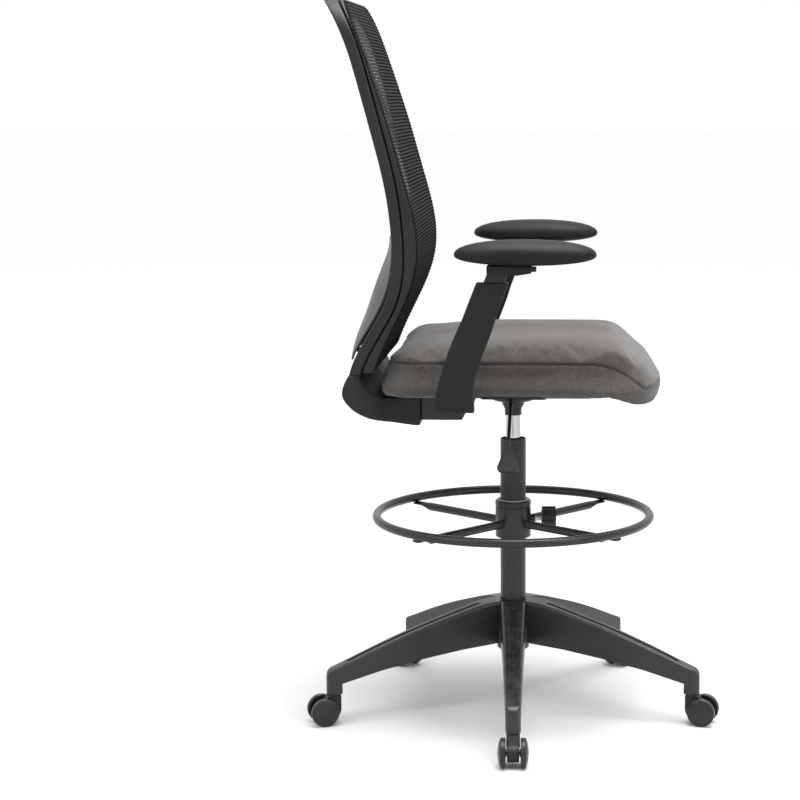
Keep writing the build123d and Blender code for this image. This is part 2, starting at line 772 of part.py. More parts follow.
bracket_front = 84.0
bracket_low = 590.0
bracket_half = 116.0
with BuildPart() as back_bracket:
    with BuildSketch(Plane.YZ):
        with BuildLine():
            Polyline((yoke_front, bracket_low), (bracket_front + 8, bracket_low), (bracket_front, bracket_low + 14),
                     (bracket_front, seat_bottom), (yoke_front, seat_bottom), close=True)
        make_face()
    extrude(amount=bracket_half, both=True)
save(back_bracket, "back_bracket")

# ---------------------------------------------------------------- arms
# The arm leans forward going up; its slider runs along that line.
lean = radians(arm_lean)
arm_up = Vector(0, -sin(lean), cos(lean))
sleeve_top = 867.0
sleeve_low = 633.0
sleeve_mid_y = 21.0
slide_origin = Vector(0, sleeve_mid_y, sleeve_top)
slide_plane = Plane(origin=slide_origin, x_dir=(0, 1, 0), z_dir=arm_up)
slider_top = 22.0
slot_depth = slider_length - slider_top + 16
foot_rear = 124.0
foot_front = 62.0
foot_low = seat_bottom - foot_thick
cradle_low = 881.0
cradle_rear = 34.0
cradle_front = -46.0
cradle_half = 25.0
button_z = 891.0
button_half = 8.0
button_height = 9.0
button_out = 8.0
button_in = 12.0
button_travel = 4.0

with BuildPart() as sleeve:
    with BuildSketch(Plane.YZ):
        with BuildLine():
            Line((-5, sleeve_top), (19, 801))
            Spline((19, 801), (38, 747), (51, 711), (58, 680), (58, 656))
            Polyline((58, 656), (57, sleeve_low), (128, sleeve_low), (127, 656))
            Spline((127, 656), (124, 674), (114, 710), (102, 746), (79, 800))
            Line((79, 800), (53, sleeve_top))
            Line((53, sleeve_top), (-5, sleeve_top))
        make_face()
    extrude(amount=sleeve_thick / 2, both=True)
    fillet(sleeve.edges().filter_by(lambda e: abs(e.center().X) > 13 and e.length > 50), 3)
    with BuildSketch(slide_plane.offset(30)):
        Rectangle(slider_width + 2 * sliding, slider_thick + 2 * sliding)
    extrude(amount=-slot_depth - 30, mode=Mode.SUBTRACT)
    with BuildSketch(Plane.XY.offset(sleeve_low)):
        with Locations((0, 93)):
            RectangleRounded(18, 52, 4)
    extrude(amount=14, mode=Mode.SUBTRACT)

with BuildPart() as slider:
    with BuildSketch(slide_plane.offset(slider_top)):
        Rectangle(slider_width, slider_thick)
    extrude(amount=-slider_length)
    with BuildSketch(Plane.XY.offset(cradle_low)):
        Rectangle(400, 400)
    extrude(amount=60, mode=Mode.SUBTRACT)

pad_middle = (pad_length / 2) - pad_front
with BuildPart() as cradle:
    with BuildSketch(Plane.YZ):
        with BuildLine():
            Polyline((cradle_rear, pad_under), (cradle_front, pad_under), (cradle_front, button_z - 6),
                     (-20, cradle_low), (cradle_rear - 2, cradle_low), (cradle_rear, cradle_low + 4), close=True)
        make_face()
    extrude(amount=cradle_half, both=True)
    fillet(cradle.edges().filter_by(Axis.Z), 3)
    with BuildSketch(Plane.XZ.offset(-cradle_front)):
        with Locations((0, button_z)):
            RectangleRounded(2 * (button_half + sliding), button_height + 2 * sliding, 3)
    extrude(amount=-button_in - button_travel - sliding, mode=Mode.SUBTRACT)

with BuildPart() as button:
    with BuildSketch(Plane.XZ.offset(-cradle_front + button_out)):
        with Locations((0, button_z)):
            RectangleRounded(2 * button_half, button_height, 3)
    extrude(amount=-button_out - button_in)
    fillet(button.faces().sort_by(Axis.Y)[0].edges(), 2)

with BuildPart() as pad:
    with BuildSketch(Plane.XY.offset(pad_under)):
        with Locations((0, pad_middle)):
            Ellipse(pad_width / 2, pad_length / 2)
    extrude(amount=pad_crown - pad_under + 1)
    with BuildSketch(Plane.YZ):
        with BuildLine():
            tail = (pad_length - pad_front, pad_edge)
            nose = (-pad_front, pad_edge)
            ThreePointArc(tail, (pad_middle, pad_crown), nose)
            ThreePointArc(nose, (pad_middle, pad_under - 1.5), tail)
        make_face()
    extrude(amount=pad_width, both=True, mode=Mode.INTERSECT)
    with BuildSketch(Plane.XZ):
        with BuildLine():
            ThreePointArc((-pad_width / 2, pad_edge), (0, pad_crown), (pad_width / 2, pad_edge))
            Polyline((pad_width / 2, pad_edge), (pad_width / 2, pad_edge - 6), (pad_width / 2 - 14, pad_under - 2),
                     (-pad_width / 2 + 14, pad_under - 2), (-pad_width / 2, pad_edge - 6),
                     (-pad_width / 2, pad_edge))
        make_face()
    extrude(amount=pad_length, both=True, mode=Mode.INTERSECT)

for side, sign in (("right", -1), ("left", 1)):
    for piece, name in ((sleeve, "sleeve"), (slider, "slider"), (cradle, "cradle"), (button, "button"), (pad, "pad")):
        with BuildPart() as placed:
            with Locations((sign * arm_x, 0, 0)):
                add(piece.part)
        save(placed, f"arm_{side}_{name}")

foot_end = arm_x - sleeve_thick / 2
with BuildPart() as arm_feet:
    with BuildSketch(Plane.XY.offset(foot_low)):
        for sign in (-1, 1):
            with Locations((sign * (foot_inner + foot_end) / 2, (foot_rear + foot_front) / 2)):
                Rectangle(foot_end - foot_inner, foot_rear - foot_front)
    extrude(amount=foot_thick)
save(arm_feet, "arm_feet")

bolt_r = 4.0
head_r = 7.0
head_height = 5.0
foot_bolts = [(sign * x, y) for sign in (-1, 1) for x in (150, 205) for y in (78, 108)]
plate_bolts = [(sign * 80, y) for sign in (-1, 1) for y in (-66, 61)]
bracket_bolts = [(sign * 80, 128) for sign in (-1, 1)]
with BuildPart() as under_bolts:
    for places, face in ((foot_bolts, foot_low), (plate_bolts, box_top), (bracket_bolts, bracket_low)):
        with BuildSketch(Plane.XY.offset(face - head_height)):
            with Locations(*places):
                Circle(head_r)
        extrude(amount=head_height)
        with BuildSketch(Plane.XY.offset(face - head_height)):
            with Locations(*places):
                RegularPolygon(3.5, 6)
        extrude(amount=head_height - 2, mode=Mode.SUBTRACT)
save(under_bolts, "under_bolts")
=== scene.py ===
# Drafting chair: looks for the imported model. Metres, +Z up, the chair faces -Y.
import json
import math

import bmesh
import bpy
import numpy as np
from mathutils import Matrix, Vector
from mathutils.bvhtree import BVHTree


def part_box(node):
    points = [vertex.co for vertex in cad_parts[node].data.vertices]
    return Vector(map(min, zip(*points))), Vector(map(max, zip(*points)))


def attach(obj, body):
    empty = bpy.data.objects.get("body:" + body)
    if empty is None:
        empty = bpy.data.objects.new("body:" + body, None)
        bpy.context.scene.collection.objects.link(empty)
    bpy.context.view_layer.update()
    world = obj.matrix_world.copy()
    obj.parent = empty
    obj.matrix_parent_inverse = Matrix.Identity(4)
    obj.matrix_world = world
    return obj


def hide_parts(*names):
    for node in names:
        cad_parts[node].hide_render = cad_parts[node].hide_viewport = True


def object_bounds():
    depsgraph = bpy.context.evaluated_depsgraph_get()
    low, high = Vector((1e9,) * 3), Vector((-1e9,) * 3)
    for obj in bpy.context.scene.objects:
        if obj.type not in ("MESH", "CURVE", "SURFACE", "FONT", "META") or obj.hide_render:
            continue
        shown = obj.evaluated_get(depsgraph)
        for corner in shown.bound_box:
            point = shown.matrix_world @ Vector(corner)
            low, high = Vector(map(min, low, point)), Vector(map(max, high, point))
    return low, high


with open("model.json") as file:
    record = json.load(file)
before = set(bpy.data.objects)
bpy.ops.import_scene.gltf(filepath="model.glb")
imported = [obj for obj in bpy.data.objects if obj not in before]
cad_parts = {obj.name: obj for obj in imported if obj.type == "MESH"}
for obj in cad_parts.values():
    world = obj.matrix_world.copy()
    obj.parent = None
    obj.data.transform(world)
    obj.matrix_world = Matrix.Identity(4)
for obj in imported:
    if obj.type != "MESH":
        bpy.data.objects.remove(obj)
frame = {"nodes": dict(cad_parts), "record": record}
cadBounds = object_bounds()
cadNodes = frame["nodes"]
scene = bpy.context.scene
print("frame loaded:", len(cadNodes), "nodes")


# ---- camera, floor and light

view = {
    "distance": 4.034,
    "height": 1.202,
    "heading": 0.042,  # radians off the +X axis
    "tilt": math.radians(8.32),
    "lens": 94.67,
    "shift": -0.1414,
}


def setCamera():
    data = bpy.data.cameras.new("studioCamera")
    data.lens = view["lens"]
    data.sensor_width = 36.0
    data.shift_x = view["shift"]
    data.clip_end = 200.0
    camera = bpy.data.objects.new("studioCamera", data)
    along = -view["distance"] * math.cos(view["heading"])
    aside = -view["distance"] * math.sin(view["heading"])
    camera.location = (along, aside, view["height"])
    camera.rotation_euler = (math.pi / 2 - view["tilt"], 0, view["heading"] - math.pi / 2)
    scene.collection.objects.link(camera)
    scene.camera = camera


studio = {
    "floorRadius": 60.0,
    # the paper is greyer under the lamps, so the lit floor stays an even white
    "nearColor": (0.62, 0.62, 0.62),
    "farColor": (0.98, 0.98, 0.98),
    "nearReach": 1.2,
    "farReach": 5.0,
    "skyColor": (1.0, 1.0, 1.0, 1),
    "skyStrength": 1.0,
    # name: place, aimed at, size in metres, watts
    "lamps": {
        "overhead": ((-0.3, -0.3, 3.1), (0, 0, 0.6), 2.2, 170),
        "frontFill": ((-2.6, -2.6, 2.3), (0, -0.1, 0.7), 1.6, 35),
        "rearFill": ((-2.4, 2.6, 2.2), (0, 0.2, 0.8), 1.6, 30),
    },
}


def makeFloor():
    bm = bmesh.new()
    bmesh.ops.create_circle(bm, cap_ends=True, segments=96, radius=studio["floorRadius"])
    mesh = bpy.data.meshes.new("floor")
    bm.to_mesh(mesh)
    bm.free()
    floor = bpy.data.objects.new("floor", mesh)
    floor.location.z = cadBounds[0][2] - 0.0005
    scene.collection.objects.link(floor)
    return floor


def setStudio():
    scene.view_settings.view_transform = "Standard"
    world = bpy.data.worlds.new("paleSky")
    world.use_nodes = True
    sky = world.node_tree.nodes["Background"]
    sky.inputs["Color"].default_value = studio["skyColor"]
    sky.inputs["Strength"].default_value = studio["skyStrength"]
    scene.world = world
    for name, (place, aim, size, watts) in studio["lamps"].items():
        data = bpy.data.lights.new(name, "AREA")
        data.size = size
        data.energy = watts
        lamp = bpy.data.objects.new(name, data)
        lamp.location = place
        lamp.rotation_euler = (Vector(aim) - Vector(place)).to_track_quat("-Z", "Y").to_euler()
        lamp.visible_camera = False
        scene.collection.objects.link(lamp)


floor = makeFloor()
setCamera()
setStudio()
print("camera and studio set")


# ---- shader node groups, shared by the materials

def addNode(tree, kind, column, row, **settings):
    node = tree.nodes.new(kind)
    node.location = (column * 200, -row * 160)
    for key, value in settings.items():
        setattr(node, key, value)
    return node


def mathNode(tree, operation, first, second=None, column=0, row=0):
    node = addNode(tree, "ShaderNodeMath", column, row, operation=operation)
    for index, value in enumerate((first, second)):
        if value is None:
            continue
        if isinstance(value, (int, float)):
            node.inputs[index].default_value = value
        else:
            tree.links.new(value, node.inputs[index])
    return node.outputs[0]


def remap(tree, value, low, high, toLow=0.0, toHigh=1.0, column=0, row=0):
    node = addNode(tree, "ShaderNodeMapRange", column, row, interpolation_type="SMOOTHSTEP")
    tree.links.new(value, node.inputs["Value"])
    for label, number in (("From Min", low), ("From Max", high), ("To Min", toLow), ("To Max", toHigh)):
        node.inputs[label].default_value = number
    return node.outputs["Result"]


def startGroup(name, inputs, outputs):
    tree = bpy.data.node_groups.new(name, "ShaderNodeTree")
    for label, value in inputs.items():
        socket = tree.interface.new_socket(name=label, in_out="INPUT", socket_type="NodeSocketFloat")
        socket.default_value = value
    for label in outputs:
        tree.interface.new_socket(name=label, in_out="OUTPUT", socket_type="NodeSocketFloat")
    return tree, addNode(tree, "NodeGroupInput", -6, 0), addNode(tree, "NodeGroupOutput", 6, 0)


def makeMouldGrain():
    # the fine spark-eroded texture of moulded plastic and the orange peel of powder coat
    sizes = {"Grain Size": 0.001, "Patch Size": 0.12}
    tree, given, made = startGroup("mouldGrain", sizes, ["Height", "Tone"])
    place = addNode(tree, "ShaderNodeTexCoord", -6, 2).outputs["Object"]
    perMetre = mathNode(tree, "DIVIDE", 1.0, given.outputs["Grain Size"], -4, 0)
    grainPlace = addNode(tree, "ShaderNodeVectorMath", -3, 1, operation="SCALE")
    tree.links.new(place, grainPlace.inputs[0])
    tree.links.new(perMetre, grainPlace.inputs["Scale"])
    cells = addNode(tree, "ShaderNodeTexVoronoi", -2, 0)
    cells.inputs["Scale"].default_value = 1.0
    tree.links.new(grainPlace.outputs[0], cells.inputs["Vector"])
    fine = addNode(tree, "ShaderNodeTexNoise", -2, 2)
    fine.inputs["Scale"].default_value = 1.7
    tree.links.new(grainPlace.outputs[0], fine.inputs["Vector"])
    bumps = mathNode(tree, "MULTIPLY", cells.outputs["Distance"], 0.6, 0, 0)
    pits = mathNode(tree, "MULTIPLY", fine.outputs[0], 0.4, 0, 1)
    tree.links.new(mathNode(tree, "ADD", bumps, pits, 2, 0), made.inputs["Height"])
    perPatch = mathNode(tree, "DIVIDE", 1.0, given.outputs["Patch Size"], -4, 4)
    patches = addNode(tree, "ShaderNodeTexNoise", -2, 4)
    patches.inputs["Detail"].default_value = 4.0
    tree.links.new(place, patches.inputs["Vector"])
    tree.links.new(perPatch, patches.inputs["Scale"])
    tree.links.new(remap(tree, patches.outputs[0], 0.3, 0.7, column=2, row=4), made.inputs["Tone"])
    return tree


def makeSettledDust():
    # faint dust on faces that look up, broken by noise
    tree, given, made = startGroup("settledDust", {"Amount": 0.3, "Speck Size": 0.02}, ["Mask"])
    place = addNode(tree, "ShaderNodeTexCoord", -6, 2).outputs["Object"]
    facing = addNode(tree, "ShaderNodeNewGeometry", -6, 4).outputs["Normal"]
    split = addNode(tree, "ShaderNodeSeparateXYZ", -4, 4)
    tree.links.new(facing, split.inputs[0])
    upward = remap(tree, split.outputs["Z"], 0.1, 1.0, column=-2, row=4)
    specks = addNode(tree, "ShaderNodeTexNoise", -2, 1)
    specks.inputs["Detail"].default_value = 6.0
    tree.links.new(place, specks.inputs["Vector"])
    perSpeck = mathNode(tree, "DIVIDE", 1.0, given.outputs["Speck Size"], -4, 1)
    tree.links.new(perSpeck, specks.inputs["Scale"])
    spread = remap(tree, specks.outputs[0], 0.35, 0.75, column=0, row=1)
    both = mathNode(tree, "MULTIPLY", spread, upward, 2, 2)
    tree.links.new(mathNode(tree, "MULTIPLY", both, given.outputs["Amount"], 4, 2), made.inputs["Mask"])
    return tree


def makeWovenCloth():
    # a plain weave laid on from whichever of three directions the surface faces
    tree, given, made = startGroup("wovenCloth", {"Thread": 0.0016}, ["Height", "Fleck", "Shade"])
    coords = addNode(tree, "ShaderNodeTexCoord", -6, 2)
    perThread = mathNode(tree, "DIVIDE", math.pi, given.outputs["Thread"], -4, 0)
    threads = addNode(tree, "ShaderNodeVectorMath", -3, 1, operation="SCALE")
    tree.links.new(coords.outputs["Object"], threads.inputs[0])
    tree.links.new(perThread, threads.inputs["Scale"])
    split = addNode(tree, "ShaderNodeSeparateXYZ", -2, 1)
    tree.links.new(threads.outputs[0], split.inputs[0])
    waves = [mathNode(tree, "SINE", split.outputs[axis], None, -1, axis) for axis in range(3)]
    faces = addNode(tree, "ShaderNodeVectorMath", -3, 5, operation="ABSOLUTE")
    tree.links.new(coords.outputs["Normal"], faces.inputs[0])
    splitFaces = addNode(tree, "ShaderNodeSeparateXYZ", -2, 5)
    tree.links.new(faces.outputs[0], splitFaces.inputs[0])
    total = None
    shares = None
    for axis in range(3):
        share = mathNode(tree, "POWER", splitFaces.outputs[axis], 6.0, 0, 5 + axis)
        others = [waves[k] for k in range(3) if k != axis]
        crossing = mathNode(tree, "MULTIPLY", others[0], others[1], 0, axis)
        part = mathNode(tree, "MULTIPLY", crossing, share, 1, axis)
        total = part if total is None else mathNode(tree, "ADD", total, part, 2, axis)
        shares = share if shares is None else mathNode(tree, "ADD", shares, share, 2, 4 + axis)
    weave = mathNode(tree, "DIVIDE", total, shares, 3, 1)
    fleck = addNode(tree, "ShaderNodeTexNoise", -1, 9)
    fleck.inputs["Scale"].default_value = 0.36
    fleck.inputs["Detail"].default_value = 3.0
    tree.links.new(threads.outputs[0], fleck.inputs["Vector"])
    shade = addNode(tree, "ShaderNodeTexNoise", -1, 11)
    shade.inputs["Scale"].default_value = 14.0
    shade.inputs["Detail"].default_value = 5.0
    tree.links.new(coords.outputs["Object"], shade.inputs["Vector"])
    rough = mathNode(tree, "MULTIPLY", fleck.outputs[0], 0.8, 4, 2)
    tree.links.new(mathNode(tree, "ADD", weave, rough, 5, 1), made.inputs["Height"])
    tree.links.new(remap(tree, fleck.outputs[0], 0.40, 0.62, column=4, row=9), made.inputs["Fleck"])
    tree.links.new(remap(tree, shade.outputs[0], 0.3, 0.7, column=4, row=11), made.inputs["Shade"])
    return tree


def makeKnitHoles():
    # the small holes between the threads that cross the valleys of the ribbed mesh
    tree, given, made = startGroup("knitHoles", {"Valley": 0.5, "Thread": 0.0021}, ["Solid", "Height"])
    place = addNode(tree, "ShaderNodeTexCoord", -6, 2).outputs["Object"]
    split = addNode(tree, "ShaderNodeSeparateXYZ", -4, 2)
    tree.links.new(place, split.inputs[0])
    perThread = mathNode(tree, "DIVIDE", 2 * math.pi, given.outputs["Thread"], -4, 0)
    across = mathNode(tree, "MULTIPLY", split.outputs["X"], perThread, -2, 1)
    threads = mathNode(tree, "SINE", across, None, -1, 1)
    gaps = remap(tree, threads, 0.35, 0.6, column=0, row=1)
    opened = remap(tree, given.outputs["Valley"], 0.68, 0.8, column=0, row=3)
    hole = mathNode(tree, "MULTIPLY", gaps, opened, 2, 2)
    tree.links.new(mathNode(tree, "SUBTRACT", 1.0, hole, 4, 2), made.inputs["Solid"])
    tree.links.new(mathNode(tree, "ADD", threads, 1.0, 4, 1), made.inputs["Height"])
    return tree


groups = {
    "grain": makeMouldGrain(),
    "dust": makeSettledDust(),
    "weave": makeWovenCloth(),
    "knit": makeKnitHoles(),
}
print("node groups made")


# ---- materials

def startMaterial(name, fixed):
    material = bpy.data.materials.new(name)
    material.use_nodes = True
    tree = material.node_tree
    skin = tree.nodes["Principled BSDF"]
    skin.location = (1400, 0)
    tree.nodes["Material Output"].location = (1800, 0)
    for label, value in fixed.items():
        skin.inputs[label].default_value = value
    return material, tree, skin


def useGroup(tree, key, column, row, **values):
    node = addNode(tree, "ShaderNodeGroup", column, row, node_tree=groups[key])
    for label, value in values.items():
        node.inputs[label.replace("_", " ")].default_value = value
    return node


def mixColors(tree, factor, dark, light, column, row):
    node = addNode(tree, "ShaderNodeMix", column, row, data_type="RGBA")
    tree.links.new(factor, node.inputs[0])
    for index, color in ((6, dark), (7, light)):
        if isinstance(color, tuple):
            node.inputs[index].default_value = (*color, 1)
        else:
            tree.links.new(color, node.inputs[index])
    return node.outputs[2]


def blendColors(tree, share, first, second, column, row):
    node = addNode(tree, "ShaderNodeMix", column, row, data_type="RGBA")
    node.inputs[0].default_value = share
    tree.links.new(first, node.inputs[6])
    tree.links.new(second, node.inputs[7])
    return node.outputs[2]


def addBump(tree, skin, height, depth, strength):
    bump = addNode(tree, "ShaderNodeBump", 5, 4)
    bump.inputs["Distance"].default_value = depth
    bump.inputs["Strength"].default_value = strength
    tree.links.new(height, bump.inputs["Height"])
    tree.links.new(bump.outputs["Normal"], skin.inputs["Normal"])


def grainyMaterial(name, look):
    # any hard finish: two tones in broad patches, fine grain, settled dust, and the sockets that stay plain
    material, tree, skin = startMaterial(name, look["plain"])
    grain = useGroup(tree, "grain", 0, 0, Grain_Size=look["grainSize"], Patch_Size=look["patchSize"])
    dust = useGroup(tree, "dust", 0, 2, Amount=look["dust"], Speck_Size=0.012)
    paint = mixColors(tree, grain.outputs["Tone"], look["dark"], look["light"], 2, 0)
    top = mixColors(tree, dust.outputs["Mask"], paint, look["dustColor"], 4, 0)
    tree.links.new(top, skin.inputs["Base Color"])
    rough = remap(tree, grain.outputs["Tone"], 0, 1, *look["roughness"], column=3, row=3)
    tree.links.new(rough, skin.inputs["Roughness"])
    addBump(tree, skin, grain.outputs["Height"], look["grainDepth"], look["grainStrength"])
    return material


def hardFinish(dark, light, roughness, specular, **changes):
    look = {
        "dark": dark if isinstance(dark, tuple) else (dark, dark, dark),
        "light": light if isinstance(light, tuple) else (light, light, light),
        "dustColor": (0.16, 0.16, 0.155),
        "dust": 0.12,
        "roughness": roughness,
        "grainSize": 0.0011,
        "grainDepth": 0.00012,
        "grainStrength": 0.5,
        "patchSize": 0.1,
        "plain": {"Specular IOR Level": specular},
    }
    look.update(changes)
    return look


finishes = {
    "base_nylon": hardFinish(0.009, 0.013, (0.30, 0.38), 0.42, grainSize=0.0013),
    "black_steel": hardFinish(0.010, 0.014, (0.24, 0.32), 0.32, grainSize=0.0022, grainStrength=0.25),
    "caster_nylon": hardFinish(0.009, 0.013, (0.40, 0.5), 0.25),
    "caster_wheel": hardFinish(0.011, 0.017, (0.30, 0.40), 0.3, grainStrength=0.3),
    "black_plastic": hardFinish(0.009, 0.013, (0.42, 0.5), 0.3),
    "back_plastic": hardFinish(0.007, 0.010, (0.46, 0.56), 0.25),
    "shell_plastic": hardFinish((0.020, 0.022, 0.021), (0.025, 0.028, 0.026), (0.40, 0.48), 0.35),
    "arm_plastic": hardFinish(0.008, 0.011, (0.44, 0.54), 0.16),
    "pad_skin": hardFinish(0.007, 0.010, (0.5, 0.6), 0.12, grainSize=0.0009, grainStrength=0.6, dust=0.02),
    "zinc_steel": hardFinish(0.5, 0.6, (0.28, 0.42), 0.5, grainSize=0.0008, grainStrength=0.15,
                              patchSize=0.03, plain={"Metallic": 1.0}),
    "chrome": hardFinish(0.40, 0.46, (0.05, 0.1), 0.5, grainStrength=0.02, dust=0.03,
                          plain={"Metallic": 1.0}),
    "bush_nylon": hardFinish(0.16, 0.2, (0.35, 0.45), 0.5, dust=0.05),
    "seat_pan": hardFinish(0.008, 0.012, (0.5, 0.6), 0.25),
}


def clothMaterial(name, look):
    material, tree, skin = startMaterial(name, look["plain"])
    weave = useGroup(tree, "weave", 0, 0, Thread=look["thread"])
    dust = useGroup(tree, "dust", 0, 3, Amount=look["dust"], Speck_Size=0.03)
    heather = mixColors(tree, weave.outputs["Fleck"], look["dark"], look["light"], 2, 0)
    shaded = mixColors(tree, weave.outputs["Shade"], look["shade"], heather, 3, 1)
    # painted shade: the cloth is darkened along the seam's crease, as much as the seam attribute says
    seam = addNode(tree, "ShaderNodeAttribute", 4, 4, attribute_name="seam")
    top = mixColors(tree, dust.outputs["Mask"], shaded, look["dustColor"], 4, 0)
    worn = blendColors(tree, look["wear"], heather, top, 4, 2)
    clothWithSeamShade = mixColors(tree, seam.outputs["Fac"], worn, look["seam"], 5, 0)
    tree.links.new(clothWithSeamShade, skin.inputs["Base Color"])
    tree.links.new(remap(tree, weave.outputs["Fleck"], 0, 1, 0.78, 0.95, 3, 3), skin.inputs["Roughness"])
    addBump(tree, skin, weave.outputs["Height"], look["depth"], look["strength"])
    return material


seatCloth = {
    "thread": 0.0017,
    "dark": (0.020, 0.0175, 0.016),
    "light": (0.100, 0.092, 0.085),
    "shade": (0.042, 0.038, 0.035),
    # painted shade: the near-black colour laid along the seam's crease
    "seam": (0.006, 0.005, 0.005),
    "dustColor": (0.2, 0.19, 0.18),
    "dust": 0.12,
    "wear": 0.35,  # share of the patchy, dusty tone over the plain heather
    "depth": 0.0008,
    "strength": 0.8,
    "plain": {"Specular IOR Level": 0.12, "Sheen Weight": 0.3, "Sheen Roughness": 0.45},
}

threadCloth = {
    **seatCloth,
    "dark": (0.05, 0.046, 0.043),
    "light": (0.11, 0.1, 0.095),
    "thread": 0.0009,
}

meshLook = {
    # painted shade: the valley colour is much darker than the crest, standing in for the shade between the
    # ribs
    "valley": (0.006, 0.006, 0.006),
    "crest": (0.036, 0.036, 0.035),
    "hem": (0.012, 0.012, 0.012),
    "wear": 0.15,
    "thread": 0.0021,
    "depth": 0.0003,
    "strength": 0.5,
    "plain": {"Roughness": 0.8, "Specular IOR Level": 0.0},
}


def meshMaterial(name, look):
    material, tree, skin = startMaterial(name, look["plain"])
    valley = addNode(tree, "ShaderNodeAttribute", -2, 0, attribute_name="valley")
    knit = useGroup(tree, "knit", 0, 0, Thread=look["thread"])
    tree.links.new(valley.outputs["Fac"], knit.inputs["Valley"])
    grain = useGroup(tree, "grain", 0, 2, Grain_Size=0.0008, Patch_Size=0.2)
    # painted shade: the colour darkens towards the rib valleys, as the shade between the ribs
    ribs = mixColors(tree, valley.outputs["Fac"], look["crest"], look["valley"], 2, 0)
    worn = mixColors(tree, grain.outputs["Tone"], ribs, look["crest"], 3, 1)
    knitted = blendColors(tree, look["wear"], ribs, worn, 4, 0)
    hem = addNode(tree, "ShaderNodeAttribute", 2, 4, attribute_name="hem")
    edged = mixColors(tree, hem.outputs["Fac"], knitted, look["hem"], 5, 0)
    tree.links.new(edged, skin.inputs["Base Color"])
    solid = mathNode(tree, "MAXIMUM", knit.outputs["Solid"], hem.outputs["Fac"], 5, 3)
    tree.links.new(solid, skin.inputs["Alpha"])
    addBump(tree, skin, knit.outputs["Height"], look["depth"], look["strength"])
    return material


def paperMaterial():
    paper, tree, skin = startMaterial("palePaper", {"Roughness": 0.9, "Specular IOR Level": 0.0})
    place = addNode(tree, "ShaderNodeTexCoord", -2, 0).outputs["Object"]
    reach = addNode(tree, "ShaderNodeVectorMath", -1, 0, operation="LENGTH")
    tree.links.new(place, reach.inputs[0])
    share = remap(tree, reach.outputs["Value"], studio["nearReach"], studio["farReach"])
    tone = mixColors(tree, share, studio["nearColor"], studio["farColor"], 2, 0)
    tree.links.new(tone, skin.inputs["Base Color"])
    return paper


floor.data.materials.append(paperMaterial())

materials = {slot: grainyMaterial(slot, look) for slot, look in finishes.items()}
materials["seat_fabric"] = clothMaterial("seat_fabric", seatCloth)
materials["seat_thread"] = clothMaterial("seat_thread", threadCloth)
materials["mesh_fabric"] = meshMaterial("mesh_fabric", meshLook)

slotOf = {row["node"]: row["material_slot"] for row in frame["record"]["subparts"]}
bodies = frame["record"]["behaviour"]["bodies"]
bodyOf = {node: body for body, members in bodies.items() for node in members}


def dress(piece, slot, material=None):
    piece.data.materials.clear()
    piece.data.materials.append(materials[material or slot])


for nodeName, cadObject in cadNodes.items():
    dress(cadObject, slotOf[nodeName])
print("materials on", len(cadNodes), "nodes")


# ---- making pieces

def addPiece(name, mesh, node, material=None):
    # a finished piece that moves with a node's body and takes the node's finish
    piece = bpy.data.objects.new(name, mesh)
    scene.collection.objects.link(piece)
    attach(piece, bodyOf[node])
    dress(piece, slotOf[node], material)
    for face in mesh.polygons:
        face.use_smooth = True
    return piece


def meshOf(points, faces, name):
    mesh = bpy.data.meshes.new(name)
    mesh.from_pydata([tuple(p) for p in points], [], faces)
    mesh.update()
    return mesh


def loosePiece(mesh):
    # a working object that carries a mesh through its modifiers and is then removed
    loose = bpy.data.objects.new("loose", mesh)
    scene.collection.objects.link(loose)
    return loose


def applied(piece):
    scene.view_layers[0].update()
    graph = bpy.context.evaluated_depsgraph_get()
    return bpy.data.meshes.new_from_object(piece.evaluated_get(graph), depsgraph=graph)


def rayTree(mesh):
    places = [v.co.copy() for v in mesh.vertices]
    return BVHTree.FromPolygons(places, [tuple(p.vertices) for p in mesh.polygons])


def remeshedCopy(node, voxel, passes=0):
    # a copy of a node's mesh, rebuilt from voxels and smoothed, as a loose object
    mesh = cadNodes[node].data.copy()
    bm = bmesh.new()
    bm.from_mesh(mesh)
    bmesh.ops.remove_doubles(bm, verts=bm.verts, dist=1e-5)
    bm.to_mesh(mesh)
    bm.free()
    loose = loosePiece(mesh)
    remesh = loose.modifiers.new("remesh", "REMESH")
    remesh.mode = "VOXEL"
    remesh.voxel_size = voxel
    if passes:
        smooth = loose.modifiers.new("smooth", "SMOOTH")
        smooth.factor = 0.5
        smooth.iterations = passes
    rebuilt = applied(loose)
    bpy.data.objects.remove(loose)
    return rebuilt


softened = {
    # node: voxel in metres, smoothing passes
    "back_frame": (0.002, 9),
    "mesh_carrier": (0.0016, 3),
    "back_yoke": (0.002, 8),
    "back_bracket": (0.002, 6),
    "arm_right_sleeve": (0.0016, 5),
    "arm_left_sleeve": (0.0016, 5),
    "arm_right_cradle": (0.0014, 5),
    "arm_left_cradle": (0.0014, 5),
}


def softenEdges():
    for node, (voxel, passes) in softened.items():
        piece = addPiece(node + "_rounded", remeshedCopy(node, voxel, passes), node)
        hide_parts(node)
    print("edges rounded on", len(softened), "pieces")


softenEdges()


# ---- seat cushion

